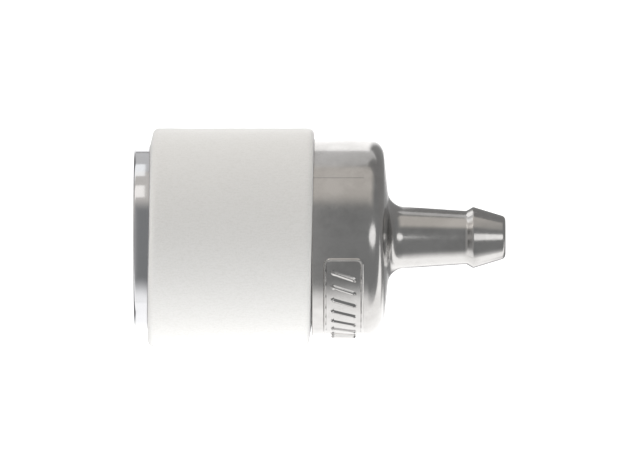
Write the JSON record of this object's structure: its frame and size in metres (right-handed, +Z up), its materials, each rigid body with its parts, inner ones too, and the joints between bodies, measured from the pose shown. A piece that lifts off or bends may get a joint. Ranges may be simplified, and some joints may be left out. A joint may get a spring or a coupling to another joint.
{
  "type": "fuel filter",
  "caption": "In-tank fuel filter with a porous sleeve clamped between a bell-shaped cast outlet head with a hose barb and a flat metal end cap.",
  "frame": {"origin": "on the surface that the filter lies on, under the middle of its length", "axes": "+X along the filter's axis from the end cap to the barb's tip, +Z up from the surface it lies on; the raised side panel is centred between +Z and -Y"},
  "size_m": [0.0322, 0.019, 0.019],
  "materials": {
    "plated_casting": "satin nickel plate on a zinc casting",
    "porous_sleeve": "matt, fine-grained porous",
    "polished_steel": "polished, plated",
    "fastener_steel": "bright zinc",
    "nylon_mesh": "fine woven mesh",
    "acetal": "moulded, satin",
    "nitrile": "matt moulded rubber"
  },
  "bodies": {
    "root": {"outlet_head": "plated_casting", "head_seal_ring": "nitrile", "filter_sleeve": "porous_sleeve", "inner_screen": "nylon_mesh", "support_core": "acetal", "core_o_ring": "nitrile", "cap_seal_ring": "nitrile", "end_cap": "polished_steel", "rivet_washer": "fastener_steel", "cap_rivet": "fastener_steel"}
  },
  "joints": []
}
